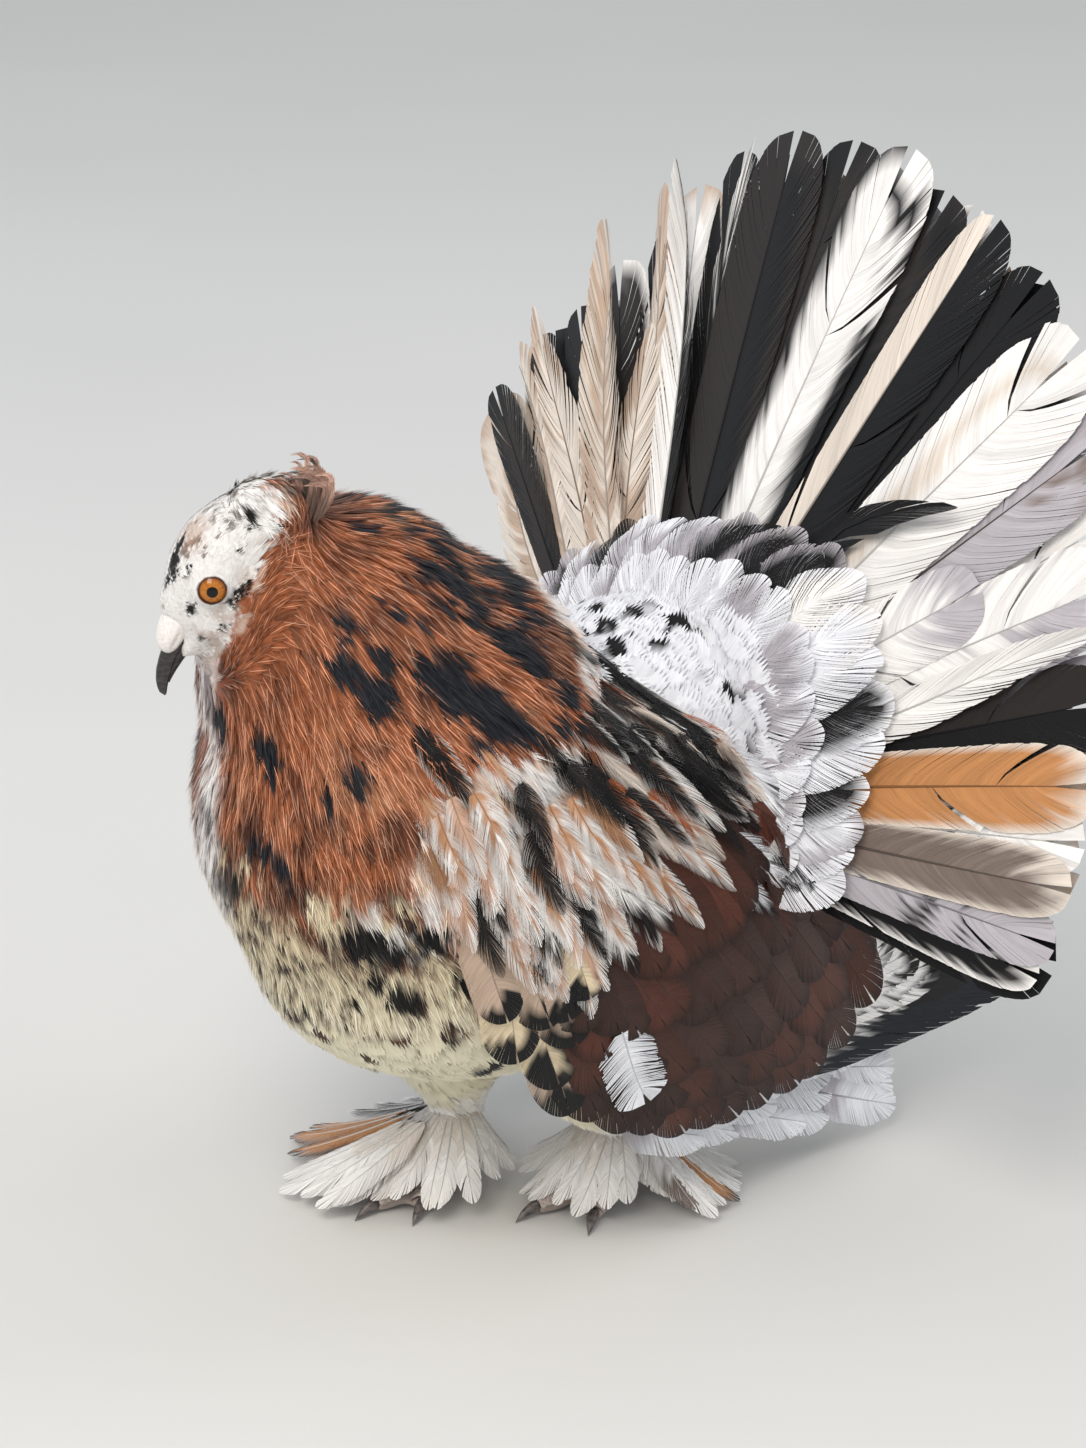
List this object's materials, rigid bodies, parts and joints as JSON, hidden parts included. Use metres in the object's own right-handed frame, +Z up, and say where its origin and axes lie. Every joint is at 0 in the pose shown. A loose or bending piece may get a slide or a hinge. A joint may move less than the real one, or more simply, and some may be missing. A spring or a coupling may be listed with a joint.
{
  "type": "fantail pigeon",
  "caption": "Life-size fantail pigeon standing with its head lowered, tail raised in a wide fan and long feathers on its feet.",
  "frame": {"origin": "on the floor, below the centre of the bird's box", "axes": "+Z up, -Y the way the bird faces, +X its left side"},
  "size_m": [0.2848, 0.2918, 0.303],
  "materials": {
    "cream_plumage": "soft cream feathers",
    "rust_plumage": "satin rust-orange feathers with black marks",
    "white_plumage": "soft white feathers",
    "brown_plumage": "smooth dark brown feathers",
    "black_plumage": "smooth black and cream feathers",
    "eye_orange": "wet glossy amber eye",
    "bill_horn": "satin dark horn",
    "cere_skin": "powdery pale skin",
    "toe_skin": "scaly pale skin",
    "claw_horn": "satin dark horn"
  },
  "bodies": {
    "root": {"trunk": "cream_plumage", "neck": "rust_plumage", "head": "white_plumage", "crest": "rust_plumage", "eye_left": "eye_orange", "eye_right": "eye_orange", "bill_upper": "bill_horn", "bill_lower": "bill_horn", "cere": "cere_skin", "tail_fan": "black_plumage", "tail_coverts": "white_plumage", "undertail_coverts": "white_plumage", "wing_left": "brown_plumage", "wing_right": "brown_plumage", "primaries_left": "black_plumage", "primaries_right": "black_plumage", "hock_feathers_left": "white_plumage", "hock_feathers_right": "white_plumage", "thigh_left": "cream_plumage", "thigh_right": "cream_plumage", "shank_left": "white_plumage", "shank_right": "white_plumage", "foot_left": "toe_skin", "foot_right": "toe_skin", "muff_left": "white_plumage", "muff_right": "white_plumage", "claw_left_inner": "claw_horn", "claw_left_middle": "claw_horn", "claw_left_outer": "claw_horn", "claw_left_hind": "claw_horn", "claw_right_inner": "claw_horn", "claw_right_middle": "claw_horn", "claw_right_outer": "claw_horn", "claw_right_hind": "claw_horn"}
  },
  "joints": []
}
